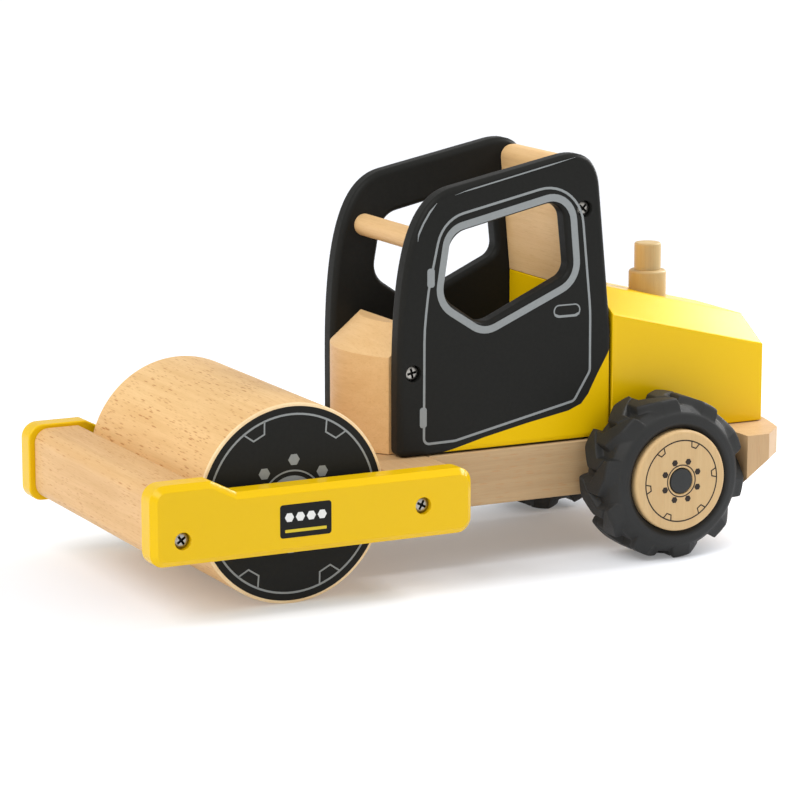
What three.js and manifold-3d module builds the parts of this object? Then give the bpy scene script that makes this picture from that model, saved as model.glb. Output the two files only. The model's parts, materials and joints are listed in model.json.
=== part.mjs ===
// Toy road roller made of beech, painted wood and rubber tyres.
//
// Millimetres. X points forward to the drum, Y to the left, Z up, and the floor is at Z = 0.
// The pieces are laid out from the drum's axis, which stands at X = 0 there. The whole roller is then
// moved along X, so that its origin lies below the middle of its length.

import * as THREE from 'three';
import { mergeVertices } from 'three/addons/utils/BufferGeometryUtils.js';
import Module from 'manifold-3d';

const wasm = await Module();
wasm.setup();

// ---------------------------------------------------------------- driving dimensions

const GAP = 0.3; // clearance wherever two pieces meet

// Drum and its pin
const DRUM_RADIUS = 40;
const DRUM_END_Y = 55.9;
const DRUM_EDGE = 0.8;
const PIN_RADIUS = 4;
const RUNNING_CLEARANCE = 0.35; // between a pin and the bore that turns on it

// Arms beside the drum
const ARM_INNER_Y = 59.6;
const ARM_OUTER_Y = 70.5;
const ARM_FRONT_X = 65.2;
const ARM_REAR_X = -72.2;
const ARM_BOTTOM_Z = 23.8;
const ARM_FRONT_TOP_Z = 55.6;
const ARM_REAR_TOP_Z = 50.2;
const ARM_STEP_X = [29.3, 40]; // the top slopes down between these
const ARM_CHAMFER = 2.4;
const ARM_PIN_DEPTH = 8;

// Beech boards
const BOARD_BOTTOM_Z = 25;
const BOARD_TOP_Z = 48;
const FRONT_BEAM_X = [43, 62.8];
const FRONT_BEAM_TOP_Z = 54.1;
const FRONT_BEAM_ROUND = 6;
const CROSS_BEAM_X = [-70.3, -42.5];
const CHASSIS_REAR_X = -206.6;
const CHASSIS_HALF_WIDTH = 35.5;

// Rear bumper
const BUMPER_HALF_WIDTH = 60;
const BUMPER_REAR_X = -236.8;
const BUMPER_BOW_RADIUS = 143;
const BUMPER_CORNER_CUT = 11;
const BUMPER_BEVEL = 12.2;

// Cab
const PANEL_THICKNESS = 9;
const PANEL_INNER_Y = CHASSIS_HALF_WIDTH - PANEL_THICKNESS;
const PANEL_FRONT_X = -56.9;
const PANEL_REAR_X = -155.2;
const CAB_INSIDE_Y = PANEL_INNER_Y - GAP;
const BLOCK_FRONT_X = -48;
const BLOCK_REAR_X = -67.2;
const BLOCK_BOW_RADIUS = 43;
const BLOCK_TOP_Z = 100;
const BLOCK_BEVEL = 12;
const GRAB_BAR = { x: -72, z: 134.2, radius: 4.55, socket: 4.8 };
const REAR_BOARD_THICKNESS = 11.5;
const REAR_BOARD_ROUND = 5;
const REAR_BOARD_FOOT = { x: -140.5, z: 110.9 };
const REAR_BOARD_HEAD = { x: -134.9, z: 164 };

// Hood, with a sloping top and a chamfer along each side
const HOOD_REAR_X = -229;
const HOOD_RIDGE_Z = 91.6; // at the rear end
const HOOD_SIDE_TOP_Z = 81.2; // at the rear end
const HOOD_SLOPE = 0.248;
const HOOD_RIDGE_Y = 18.3;
const TONGUE_FRONT_X = -140.5;
const EXHAUST_X = -193;
const EXHAUST_BASE = { radius: 7.95, bottom: 90, top: 110.6 };
const EXHAUST_TIP = { radius: 5.65, bottom: 104, top: 122.2 };

// Rear wheels
const AXLE_X = -171.15;
const AXLE_Z = 33.7;
const AXLE_RADIUS = 3;
const TYRE_RADIUS = 33.7;
const TYRE_CARCASS_RADIUS = 30.8;
const TYRE_Y = [39.3, 64.3];
const TREAD_CENTRE_Y = 50.4;
const LUGS_PER_SIDE = 10;
const FIRST_LUG = 31.5; // degrees, for the outer row
// One lug: [degrees round the tyre, millimetres from the tread's centre line towards its own shoulder].
const LUG_OUTLINE = [[-5, -3], [4.5, -7.5], [4.5, -1.6], [22.5, 7.4], [24, 11.3], [10, 11.3], [-5, 4.5]];
const HUB_RADIUS = 21.1;
const HUB_Y = [39.6, 65.7];
const HUB_RIM_ROUND = 0.9;
const CAP_RADIUS = 5.15;
const CAP_DEPTH = 3;

// Wood screws with a sunk head
const SCREW = { head: 3.15, counterbore: 3.45, shank: 1.9, headHeight: 1.8, sunk: 1.8 };
const ARM_SCREWS = { front: { x: 52.5, z: 33.8 }, rear: { x: -50, z: 36.9 } };
const ARM_SCREW_LENGTH = 30;
const CAB_SCREWS = { front: { x: -63.5, z: 82.4 }, rear: { x: -141.7, z: 144.1 } };
const CAB_SCREW_LENGTH = 22;

const MIDDLE_X = (ARM_FRONT_X + BUMPER_REAR_X) / 2;
const BORE_SEGMENTS = 16;

// ---------------------------------------------------------------- finishes

const beech = { color: 0xdeb482, roughness: 0.55, metalness: 0 };
const yellowPaint = { color: 0xe8be1e, roughness: 0.4, metalness: 0 };
const blackPlastic = { color: 0x2d2d2b, roughness: 0.5, metalness: 0 };
const rubber = { color: 0x4b4b4d, roughness: 0.85, metalness: 0 };
const steel = { color: 0xb9bcc0, roughness: 0.35, metalness: 1 };
const nylon = { color: 0xe6e4dc, roughness: 0.6, metalness: 0 };

// ---------------------------------------------------------------- geometry helpers

// A closed mesh with shared corners, without slivers, whose faces point out.
function closed(geometry) {
  const bare = geometry.clone();
  bare.deleteAttribute('normal');
  bare.deleteAttribute('uv');
  const merged = mergeVertices(bare, 1e-4);
  const corner = [0, 1, 2].map(() => new THREE.Vector3());
  const triangles = [];
  let volume = 0;
  for (let i = 0; i < merged.index.count; i += 3) {
    const ids = [0, 1, 2].map((k) => merged.index.getX(i + k));
    if (new Set(ids).size < 3) continue;
    ids.forEach((id, k) => corner[k].fromBufferAttribute(merged.attributes.position, id));
    volume += corner[0].dot(corner[1].clone().cross(corner[2]));
    triangles.push(ids);
  }
  const outward = volume > 0 ? triangles : triangles.map(([a, b, c]) => [a, c, b]);
  merged.setIndex(outward.flat());
  return merged;
}

function solidOf(geometry) {
  const mesh = closed(geometry);
  const vertProperties = new Float32Array(mesh.attributes.position.array);
  const triVerts = new Uint32Array(mesh.index.array);
  return new wasm.Manifold(new wasm.Mesh({ numProp: 3, vertProperties, triVerts }));
}

function geometryOf(solid) {
  const mesh = solid.getMesh();
  const geometry = new THREE.BufferGeometry();
  geometry.setAttribute('position', new THREE.BufferAttribute(mesh.vertProperties, 3));
  geometry.setIndex(new THREE.BufferAttribute(mesh.triVerts, 1));
  return geometry;
}

const cut = (body, ...tools) =>
  geometryOf(tools.reduce((solid, tool) => solid.subtract(solidOf(tool)), solidOf(body)));
const join = (body, ...others) =>
  geometryOf(others.reduce((solid, other) => solid.add(solidOf(other)), solidOf(body)));
const common = (body, ...others) =>
  geometryOf(others.reduce((solid, other) => solid.intersect(solidOf(other)), solidOf(body)));

// The same piece on the other side of the roller.
const mirrored = (geometry) => closed(geometry).scale(1, -1, 1);

function box([x0, x1], [y0, y1], [z0, z1]) {
  const geometry = new THREE.BoxGeometry(x1 - x0, y1 - y0, z1 - z0);
  return geometry.translate((x0 + x1) / 2, (y0 + y1) / 2, (z0 + z1) / 2);
}

// A flat outline from corners [u, v, radius]; a radius of 0 leaves the corner sharp.
function outline(corners) {
  const shape = new THREE.Shape();
  corners.forEach(([u, v, radius = 0], i) => {
    const here = new THREE.Vector2(u, v);
    const before = new THREE.Vector2(...corners.at(i - 1).slice(0, 2)).sub(here).normalize();
    const after = new THREE.Vector2(...corners[(i + 1) % corners.length].slice(0, 2)).sub(here).normalize();
    const halfAngle = Math.acos(THREE.MathUtils.clamp(before.dot(after), -1, 1)) / 2;
    const reach = radius / Math.tan(halfAngle);
    const start = here.clone().addScaledVector(before, reach);
    if (i === 0) shape.moveTo(start.x, start.y);
    else shape.lineTo(start.x, start.y);
    if (radius === 0) return;
    const inward = before.clone().add(after).normalize();
    const centre = here.clone().addScaledVector(inward, radius / Math.sin(halfAngle));
    const end = here.clone().addScaledVector(after, reach);
    const startAngle = Math.atan2(start.y - centre.y, start.x - centre.x);
    const endAngle = Math.atan2(end.y - centre.y, end.x - centre.x);
    shape.absarc(centre.x, centre.y, radius, startAngle, endAngle, before.cross(after) > 0);
  });
  return shape;
}

// An outline in X and Z, given thickness from y0 to y1.
function sidePlate(shape, y0, y1, options = {}) {
  const bevel = options.bevel ?? 0;
  const geometry = new THREE.ExtrudeGeometry(shape, {
    depth: y1 - y0 - 2 * bevel,
    curveSegments: options.curveSegments ?? 3,
    bevelEnabled: bevel > 0,
    bevelThickness: bevel,
    bevelSize: bevel,
    bevelOffset: -bevel,
    bevelSegments: 1,
  });
  return geometry.rotateX(Math.PI / 2).translate(0, y1 - bevel, 0);
}

// A turned piece: profile [radius, y] round the Y axis, then moved to x, z.
function turned(profile, segments, x = 0, z = 0) {
  const points = profile.map(([radius, y]) => new THREE.Vector2(radius, y));
  return new THREE.LatheGeometry(points, segments).translate(x, 0, z);
}

const ring = (inner, outer, y0, y1, segments, x, z) =>
  turned([[inner, y0], [outer, y0], [outer, y1], [inner, y1], [inner, y0]], segments, x, z);
const rod = (radius, y0, y1, segments, x, z) =>
  turned([[0, y0], [radius, y0], [radius, y1], [0, y1]], segments, x, z);
const uprightRod = (radius, z0, z1, segments, x) =>
  rod(radius, z0, z1, segments).rotateX(Math.PI / 2).translate(x, 0, 0);

// ---------------------------------------------------------------- screws and their holes

// A screw through a plate whose outer face is at outerY; its point looks to the roller's middle.
function woodScrew(outerY, { x, z }, length) {
  const headTop = outerY - SCREW.sunk;
  const headBase = headTop - SCREW.headHeight;
  const tip = headBase - length;
  const profile = [
    [0, tip], [SCREW.shank, tip + 4], [SCREW.shank, headBase], [SCREW.head, headBase],
    [SCREW.head, headTop - 0.5], [SCREW.head - 0.5, headTop], [0, headTop],
  ];
  return turned(profile, BORE_SEGMENTS, x, z);
}

// The room for that screw: a stepped hole, as one turned cutter.
function screwHole(outerY, { x, z }, length) {
  const seat = outerY - SCREW.sunk - SCREW.headHeight - GAP;
  const bore = SCREW.shank + GAP;
  const profile = [
    [0, seat - length - 0.5], [bore, seat - length - 0.5], [bore, seat],
    [SCREW.counterbore, seat], [SCREW.counterbore, outerY + 1], [0, outerY + 1],
  ];
  return turned(profile, BORE_SEGMENTS, x, z);
}

const onBothSides = (tool) => [tool, mirrored(tool)];
const armHoles = Object.values(ARM_SCREWS).map((place) => screwHole(ARM_OUTER_Y, place, ARM_SCREW_LENGTH));
const cabHoles = Object.values(CAB_SCREWS).map((place) =>
  screwHole(CHASSIS_HALF_WIDTH, place, CAB_SCREW_LENGTH));

// ---------------------------------------------------------------- the front: drum, arms and beams

function drum() {
  const bore = PIN_RADIUS + RUNNING_CLEARANCE;
  const profile = [
    [bore, -DRUM_END_Y], [DRUM_RADIUS - DRUM_EDGE, -DRUM_END_Y], [DRUM_RADIUS, -DRUM_END_Y + DRUM_EDGE],
    [DRUM_RADIUS, DRUM_END_Y - DRUM_EDGE], [DRUM_RADIUS - DRUM_EDGE, DRUM_END_Y], [bore, DRUM_END_Y],
    [bore, -DRUM_END_Y],
  ];
  return turned(profile, 64, 0, DRUM_RADIUS);
}

function drumPin() {
  const end = ARM_INNER_Y + ARM_PIN_DEPTH - GAP;
  return rod(PIN_RADIUS, -end, end, BORE_SEGMENTS, 0, DRUM_RADIUS);
}

function drumWasher() {
  const play = 0.6;
  return ring(PIN_RADIUS + GAP, 9, DRUM_END_Y + play, ARM_INNER_Y - play, BORE_SEGMENTS, 0, DRUM_RADIUS);
}

function arm() {
  const shape = outline([
    [ARM_REAR_X, ARM_BOTTOM_Z, 6], [ARM_FRONT_X, ARM_BOTTOM_Z, 5.5], [ARM_FRONT_X, ARM_FRONT_TOP_Z, 6.5],
    [ARM_STEP_X[1], ARM_FRONT_TOP_Z], [ARM_STEP_X[0], ARM_REAR_TOP_Z], [ARM_REAR_X, ARM_REAR_TOP_Z, 6],
  ]);
  const bevelled = sidePlate(shape, ARM_INNER_Y - ARM_CHAMFER, ARM_OUTER_Y, { bevel: ARM_CHAMFER });
  const innerPart = box([-100, 100], [ARM_INNER_Y - 10, ARM_INNER_Y], [0, 100]);
  const pinSocket = rod(PIN_RADIUS + GAP, 0, ARM_INNER_Y + ARM_PIN_DEPTH, BORE_SEGMENTS, 0, DRUM_RADIUS);
  return cut(bevelled, innerPart, pinSocket, ...armHoles);
}

function frontBeam() {
  const end = ARM_INNER_Y - GAP;
  const [back, front] = FRONT_BEAM_X;
  const shape = outline([
    [back, BOARD_BOTTOM_Z], [front, BOARD_BOTTOM_Z, FRONT_BEAM_ROUND],
    [front, FRONT_BEAM_TOP_Z, FRONT_BEAM_ROUND], [back, FRONT_BEAM_TOP_Z],
  ]);
  return cut(sidePlate(shape, -end, end), ...onBothSides(armHoles[0]));
}

function rearCrossBeam() {
  const end = ARM_INNER_Y - GAP;
  return cut(box(CROSS_BEAM_X, [-end, end], [BOARD_BOTTOM_Z, BOARD_TOP_Z]), ...onBothSides(armHoles[1]));
}

// ---------------------------------------------------------------- chassis and rear bumper

function chassisBoard() {
  const board = box(
    [CHASSIS_REAR_X + GAP, CROSS_BEAM_X[0] - GAP],
    [-CHASSIS_HALF_WIDTH, CHASSIS_HALF_WIDTH],
    [BOARD_BOTTOM_Z, BOARD_TOP_Z],
  );
  const bore = rod(AXLE_RADIUS + RUNNING_CLEARANCE, -50, 50, BORE_SEGMENTS, AXLE_X, AXLE_Z);
  return cut(board, bore);
}

// An outline in X and Y between two heights, with a 45 degree bevel on all its upper and lower edges.
function bevelledFloorPlate(shape, z0, z1, bevel) {
  const geometry = new THREE.ExtrudeGeometry(shape, {
    depth: z1 - z0 - 2 * bevel,
    curveSegments: 6,
    bevelThickness: bevel,
    bevelSize: bevel,
    bevelOffset: -bevel,
    bevelSegments: 1,
  });
  return geometry.translate(0, 0, z0 + bevel);
}

// A block with cut corners, a bowed back and a bevel below both. The bevelled body reaches past the
// block's front, sides and top, so that only the lower rear bevel is left on the block.
function rearBumper() {
  const bowCentreX = BUMPER_REAR_X + BUMPER_BOW_RADIUS;
  const bowEndY = BUMPER_HALF_WIDTH - BUMPER_CORNER_CUT;
  const bowAngle = Math.asin(bowEndY / BUMPER_BOW_RADIUS);
  const bowEndX = bowCentreX - BUMPER_BOW_RADIUS * Math.cos(bowAngle);
  const side = BUMPER_HALF_WIDTH + 2 * BUMPER_BEVEL;
  const front = CHASSIS_REAR_X + 4 * BUMPER_BEVEL;
  const shape = new THREE.Shape();
  shape.moveTo(front, -side);
  shape.lineTo(front, side);
  shape.lineTo(bowEndX + side - bowEndY, side);
  shape.lineTo(bowEndX, bowEndY);
  shape.absarc(bowCentreX, 0, BUMPER_BOW_RADIUS, Math.PI - bowAngle, Math.PI + bowAngle, false);
  shape.lineTo(bowEndX + side - bowEndY, -side);
  const bevelled = bevelledFloorPlate(shape, BOARD_BOTTOM_Z, BOARD_TOP_Z + 2 * BUMPER_BEVEL, BUMPER_BEVEL);
  const block = box(
    [BUMPER_REAR_X - 1, CHASSIS_REAR_X],
    [-BUMPER_HALF_WIDTH, BUMPER_HALF_WIDTH],
    [BOARD_BOTTOM_Z, BOARD_TOP_Z],
  );
  return common(block, bevelled);
}

// ---------------------------------------------------------------- cab

const CAB_FLOOR_Z = BOARD_TOP_Z + GAP;

// Upright front, one free curve into the roof, a round rear corner and a leaning back.
function panelOutline() {
  const shape = new THREE.Shape();
  shape.moveTo(PANEL_FRONT_X, CAB_FLOOR_Z);
  shape.lineTo(PANEL_FRONT_X, 79);
  shape.bezierCurveTo(PANEL_FRONT_X, 129.6, -64, 152.9, -82, 156.5);
  shape.lineTo(-131.3, 166.4);
  shape.quadraticCurveTo(-147.3, 169.5, -149.2, 153);
  shape.lineTo(PANEL_REAR_X, 92);
  shape.lineTo(PANEL_REAR_X, CAB_FLOOR_Z);
  return shape;
}

const windowOutline = outline([
  [-131.9, 148.6, 7.2], [-135.2, 118.1, 6.5], [-95, 99.7, 9.5], [-76.6, 112.4, 9.5], [-81, 137.5, 10],
]);

function cabPanel() {
  const plate = sidePlate(panelOutline(), PANEL_INNER_Y, CHASSIS_HALF_WIDTH, { curveSegments: 8 });
  const window = sidePlate(windowOutline, 0, 50);
  const barSocket = rod(
    GRAB_BAR.radius + GAP, 0, PANEL_INNER_Y + GRAB_BAR.socket, BORE_SEGMENTS, GRAB_BAR.x, GRAB_BAR.z,
  );
  return cut(plate, window, barSocket, ...cabHoles);
}

// A block with a bowed front and a bevel above it, made like the rear bumper.
function cabFrontBlock() {
  const bowCentreX = BLOCK_FRONT_X - BLOCK_BOW_RADIUS;
  const bowAngle = Math.asin((CAB_INSIDE_Y + BLOCK_BEVEL) / BLOCK_BOW_RADIUS);
  const side = BLOCK_BOW_RADIUS * Math.sin(bowAngle);
  const shape = new THREE.Shape();
  shape.moveTo(BLOCK_REAR_X - 4 * BLOCK_BEVEL, side);
  shape.lineTo(BLOCK_REAR_X - 4 * BLOCK_BEVEL, -side);
  shape.absarc(bowCentreX, 0, BLOCK_BOW_RADIUS, -bowAngle, bowAngle, false);
  const bevelled = bevelledFloorPlate(shape, CAB_FLOOR_Z - 2 * BLOCK_BEVEL, BLOCK_TOP_Z, BLOCK_BEVEL);
  const block = box(
    [BLOCK_REAR_X, BLOCK_FRONT_X + 1],
    [-CAB_INSIDE_Y, CAB_INSIDE_Y],
    [CAB_FLOOR_Z, BLOCK_TOP_Z],
  );
  return cut(common(block, bevelled), ...onBothSides(cabHoles[0]));
}

// A board that leans back and is rounded along its top.
function cabRearBoard() {
  const foot = REAR_BOARD_FOOT;
  const head = REAR_BOARD_HEAD;
  const shape = outline([
    [foot.x - REAR_BOARD_THICKNESS, foot.z], [foot.x, foot.z],
    [head.x, head.z, REAR_BOARD_ROUND], [head.x - REAR_BOARD_THICKNESS, head.z, REAR_BOARD_ROUND],
  ]);
  return cut(sidePlate(shape, -CAB_INSIDE_Y, CAB_INSIDE_Y), ...onBothSides(cabHoles[1]));
}

function grabBar() {
  const end = PANEL_INNER_Y + GRAB_BAR.socket - GAP;
  return rod(GRAB_BAR.radius, -end, end, BORE_SEGMENTS, GRAB_BAR.x, GRAB_BAR.z);
}

// ---------------------------------------------------------------- hood and exhaust

function hood() {
  const boardRearX = REAR_BOARD_FOOT.x - REAR_BOARD_THICKNESS;
  const ridgeZ = (x) => HOOD_RIDGE_Z + HOOD_SLOPE * (x - HOOD_REAR_X);
  const tongueTopZ = REAR_BOARD_FOOT.z - GAP;
  const topEndX = boardRearX - GAP;
  const profile = outline([
    [HOOD_REAR_X, CAB_FLOOR_Z], [TONGUE_FRONT_X, CAB_FLOOR_Z], [TONGUE_FRONT_X, tongueTopZ],
    [topEndX, tongueTopZ], [topEndX, ridgeZ(topEndX)], [HOOD_REAR_X, HOOD_RIDGE_Z],
  ]);
  const body = sidePlate(profile, -CHASSIS_HALF_WIDTH, CHASSIS_HALF_WIDTH);
  const beside = box([PANEL_REAR_X - GAP, TONGUE_FRONT_X + 1], [CAB_INSIDE_Y, 40], [0, 200]);
  const socket = uprightRod(EXHAUST_BASE.radius + GAP, EXHAUST_BASE.bottom - GAP, 200, 24, EXHAUST_X);
  return cut(body, ...onBothSides(beside), ...onBothSides(hoodChamfer(topEndX)), socket);
}

// The wedge taken off above the hood's side: its lower face joins the ridge to the side's top edge.
function hoodChamfer(frontX) {
  const fall = (HOOD_RIDGE_Z - HOOD_SIDE_TOP_Z) / (CHASSIS_HALF_WIDTH - HOOD_RIDGE_Y);
  const length = frontX - HOOD_REAR_X + 2;
  const outerY = CHASSIS_HALF_WIDTH + 5;
  const section = new THREE.Shape();
  section.moveTo(HOOD_RIDGE_Y, 0);
  section.lineTo(outerY, -fall * (outerY - HOOD_RIDGE_Y));
  section.lineTo(outerY, 20);
  section.lineTo(HOOD_RIDGE_Y, 20);
  const wedge = new THREE.ExtrudeGeometry(section, { depth: length, bevelEnabled: false });
  const shear = new THREE.Matrix4().set(
    0, 0, 1, frontX - length,
    1, 0, 0, 0,
    0, 1, HOOD_SLOPE, HOOD_RIDGE_Z + HOOD_SLOPE * (frontX - length - HOOD_REAR_X),
    0, 0, 0, 1,
  );
  return wedge.applyMatrix4(shear);
}

function exhaustBase() {
  const post = uprightRod(EXHAUST_BASE.radius, EXHAUST_BASE.bottom, EXHAUST_BASE.top, 24, EXHAUST_X);
  return cut(post, uprightRod(EXHAUST_TIP.radius + GAP, EXHAUST_TIP.bottom - GAP, 200, 24, EXHAUST_X));
}

const exhaustTip = () => uprightRod(EXHAUST_TIP.radius, EXHAUST_TIP.bottom, EXHAUST_TIP.top, 24, EXHAUST_X);

// ---------------------------------------------------------------- rear wheels

function rearAxle() {
  const end = HUB_Y[1] - CAP_DEPTH - GAP;
  return rod(AXLE_RADIUS, -end, end, BORE_SEGMENTS, AXLE_X, AXLE_Z);
}

function wheelHub() {
  const bore = AXLE_RADIUS + GAP;
  const [back, face] = HUB_Y;
  const capBore = CAP_RADIUS + GAP;
  const profile = [
    [bore, back], [HUB_RADIUS, back], [HUB_RADIUS, face - HUB_RIM_ROUND],
    [HUB_RADIUS - 0.4 * HUB_RIM_ROUND, face - 0.4 * HUB_RIM_ROUND], [HUB_RADIUS - HUB_RIM_ROUND, face],
    [capBore, face], [capBore, face - CAP_DEPTH], [bore, face - CAP_DEPTH], [bore, back],
  ];
  return turned(profile, 40, AXLE_X, AXLE_Z);
}

function hubCap() {
  return rod(CAP_RADIUS, HUB_Y[1] - CAP_DEPTH + GAP, HUB_Y[1] + 0.2, 24, AXLE_X, AXLE_Z);
}

function wheelWasher() {
  return ring(AXLE_RADIUS + GAP, 8, CHASSIS_HALF_WIDTH + 0.5, HUB_Y[0] - 0.5, BORE_SEGMENTS, AXLE_X, AXLE_Z);
}

// One lug: its outline wrapped round the tyre, from inside the carcass up to the tread's radius.
// Side is 1 for the outer row and -1 for the inner one.
function lug(angle, side) {
  const shape = new THREE.Shape(LUG_OUTLINE.map(([turn, across]) => new THREE.Vector2(turn, across)));
  const foot = TYRE_CARCASS_RADIUS - 2;
  const bar = new THREE.ExtrudeGeometry(shape, { depth: TYRE_RADIUS - foot, bevelEnabled: false });
  const position = bar.attributes.position;
  for (let i = 0; i < position.count; i += 1) {
    const turn = THREE.MathUtils.degToRad(angle + position.getX(i));
    const radius = foot + position.getZ(i);
    const y = TREAD_CENTRE_Y + side * position.getY(i);
    position.setXYZ(i, radius * Math.cos(turn), y, radius * Math.sin(turn));
  }
  return bar;
}

// Carcass and two staggered rows of slanted lugs.
function tyre() {
  const bore = HUB_RADIUS + GAP;
  const [back, face] = TYRE_Y;
  const carcass = turned([
    [bore, back + 0.8], [bore + 5, back], [TYRE_CARCASS_RADIUS - 2, back + 0.6],
    [TYRE_CARCASS_RADIUS, back + 3.5], [TYRE_CARCASS_RADIUS, face - 5],
    [TYRE_CARCASS_RADIUS - 3, face - 1], [bore + 3, face], [bore, face - 0.8], [bore, back + 0.8],
  ], 36);
  const pitch = 360 / LUGS_PER_SIDE;
  const lugs = [];
  for (let i = 0; i < LUGS_PER_SIDE; i += 1) {
    lugs.push(lug(FIRST_LUG + i * pitch, 1));
    lugs.push(lug(FIRST_LUG + (i + 0.5) * pitch, -1));
  }
  return join(carcass, ...lugs).translate(AXLE_X, 0, AXLE_Z);
}

// ---------------------------------------------------------------- assembly

const roller = new THREE.Group();
roller.name = 'toy_road_roller';
roller.position.x = -MIDDLE_X;

function place(name, geometry, finish) {
  const mesh = new THREE.Mesh(closed(geometry), new THREE.MeshStandardMaterial({ ...finish }));
  mesh.name = name;
  roller.add(mesh);
}

// A piece drawn on the left, and its mirror image on the right.
function placePair(name, geometry, finish) {
  place(`${name}_left`, geometry, finish);
  place(`${name}_right`, mirrored(geometry), finish);
}

place('roller_drum', drum(), beech);
place('drum_axle', drumPin(), steel);
placePair('drum_washer', drumWasher(), nylon);
placePair('arm', arm(), yellowPaint);
place('front_beam', frontBeam(), beech);
place('rear_cross_beam', rearCrossBeam(), beech);
for (const [end, position] of Object.entries(ARM_SCREWS)) {
  placePair(`arm_screw_${end}`, woodScrew(ARM_OUTER_Y, position, ARM_SCREW_LENGTH), steel);
}

place('chassis_board', chassisBoard(), beech);
place('rear_bumper', rearBumper(), beech);

placePair('cab_panel', cabPanel(), yellowPaint);
place('cab_front_block', cabFrontBlock(), beech);
place('cab_rear_board', cabRearBoard(), beech);
place('grab_bar', grabBar(), beech);
for (const [end, position] of Object.entries(CAB_SCREWS)) {
  placePair(`cab_screw_${end}`, woodScrew(CHASSIS_HALF_WIDTH, position, CAB_SCREW_LENGTH), steel);
}

place('hood', hood(), yellowPaint);
place('exhaust_base', exhaustBase(), beech);
place('exhaust_tip', exhaustTip(), beech);

place('rear_axle', rearAxle(), steel);
placePair('wheel_washer', wheelWasher(), nylon);
placePair('wheel_hub', wheelHub(), beech);
placePair('hub_cap', hubCap(), blackPlastic);
placePair('tyre', tyre(), rubber);

export default roller;
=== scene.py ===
"""Looks of a toy road roller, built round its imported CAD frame.

Lengths are in millimetres, with X counted from the drum's axis, until a piece is finished. Lights and
camera are placed in metres in the row frame, whose origin is on the floor under the toy's middle.
X points forward to the drum, Y to the left, and Z up from the floor.
"""

import json
import math

import bmesh
import bpy
from mathutils import Matrix, Vector
from mathutils.geometry import tessellate_polygon


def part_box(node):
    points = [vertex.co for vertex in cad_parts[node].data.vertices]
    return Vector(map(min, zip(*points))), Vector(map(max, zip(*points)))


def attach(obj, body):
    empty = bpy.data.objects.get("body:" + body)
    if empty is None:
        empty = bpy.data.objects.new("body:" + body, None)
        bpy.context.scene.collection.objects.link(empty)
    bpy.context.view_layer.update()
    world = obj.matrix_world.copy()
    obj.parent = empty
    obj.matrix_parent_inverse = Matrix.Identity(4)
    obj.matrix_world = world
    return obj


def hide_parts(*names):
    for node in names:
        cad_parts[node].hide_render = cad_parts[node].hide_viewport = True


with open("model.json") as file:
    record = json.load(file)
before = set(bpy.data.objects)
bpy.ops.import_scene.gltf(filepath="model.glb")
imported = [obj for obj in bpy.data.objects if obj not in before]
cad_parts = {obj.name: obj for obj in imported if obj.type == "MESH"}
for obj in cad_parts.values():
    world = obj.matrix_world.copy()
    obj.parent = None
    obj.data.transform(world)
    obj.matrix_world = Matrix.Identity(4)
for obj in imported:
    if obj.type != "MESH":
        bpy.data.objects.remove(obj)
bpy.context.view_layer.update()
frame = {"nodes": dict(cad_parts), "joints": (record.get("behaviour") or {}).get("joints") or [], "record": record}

# ---------------------------------------------------------------- places read from the frame

MM = 0.001
JOINTS = {joint["name"]: joint["pos_m"] for joint in frame["joints"]}
ORIGIN_X = JOINTS["drum_spin"][0]
TO_METRES = Matrix.Translation((ORIGIN_X, 0, 0)) @ Matrix.Scale(MM, 4)
BODIES = frame["record"]["behaviour"]["bodies"]
BODY_OF = {node: body for body, nodes in BODIES.items() for node in nodes}
MAIN_BODY = BODY_OF["chassis_board"]
SIDES = {"left": 1, "right": -1}
DRUM = (0.0, JOINTS["drum_spin"][2] / MM)
AXLE = ((JOINTS["rear_wheels_spin"][0] - ORIGIN_X) / MM, JOINTS["rear_wheels_spin"][2] / MM)


def extent(node):
    """Ranges of a CAD node along X, Y and Z."""
    low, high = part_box(node)
    shift = (ORIGIN_X, 0, 0)
    return [((low[i] - shift[i]) / MM, (high[i] - shift[i]) / MM) for i in range(3)]


def middle(node):
    """X and Z of the middle of a CAD node."""
    (x0, x1), _, (z0, z1) = extent(node)
    return (x0 + x1) / 2, (z0 + z1) / 2


# ---------------------------------------------------------------- flat outlines

def cross(a, b):
    return a.x * b.y - a.y * b.x


def turned_by(vector, angle):
    return Matrix.Rotation(angle, 2) @ vector


FINE = math.radians(9)
COARSE = math.radians(15)


def rounded(corners, closed=True, step=FINE):
    """Points of an outline from corners (u, v) or (u, v, radius), with a point for each step of an arc."""
    points = []
    count = len(corners)
    for i, corner in enumerate(corners):
        here = Vector(corner[:2])
        radius = corner[2] if len(corner) > 2 else 0
        if radius == 0 or (not closed and i in (0, count - 1)):
            points.append(here)
            continue
        before = (Vector(corners[i - 1][:2]) - here).normalized()
        after = (Vector(corners[(i + 1) % count][:2]) - here).normalized()
        half = before.angle(after) / 2
        centre = here + (before + after).normalized() * (radius / math.sin(half))
        start = here + before * (radius / math.tan(half)) - centre
        sweep = math.pi - 2 * half
        sense = 1 if cross(-before, after) > 0 else -1
        steps = max(2, round(sweep / step))
        points += [centre + turned_by(start, sense * sweep * k / steps) for k in range(steps + 1)]
    return points


def bezier(controls, steps):
    """Points of a quadratic or cubic curve, without its first one."""
    points = []
    for k in range(1, steps + 1):
        level = [Vector(c) for c in controls]
        while len(level) > 1:
            level = [a.lerp(b, k / steps) for a, b in zip(level, level[1:])]
        points.append(level[0])
    return points


def arc(centre, radius, start, end, steps):
    """Points of an arc between two angles in degrees."""
    angles = [math.radians(start + (end - start) * k / steps) for k in range(steps + 1)]
    return [Vector((centre[0] + radius * math.cos(a), centre[1] + radius * math.sin(a))) for a in angles]


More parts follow.
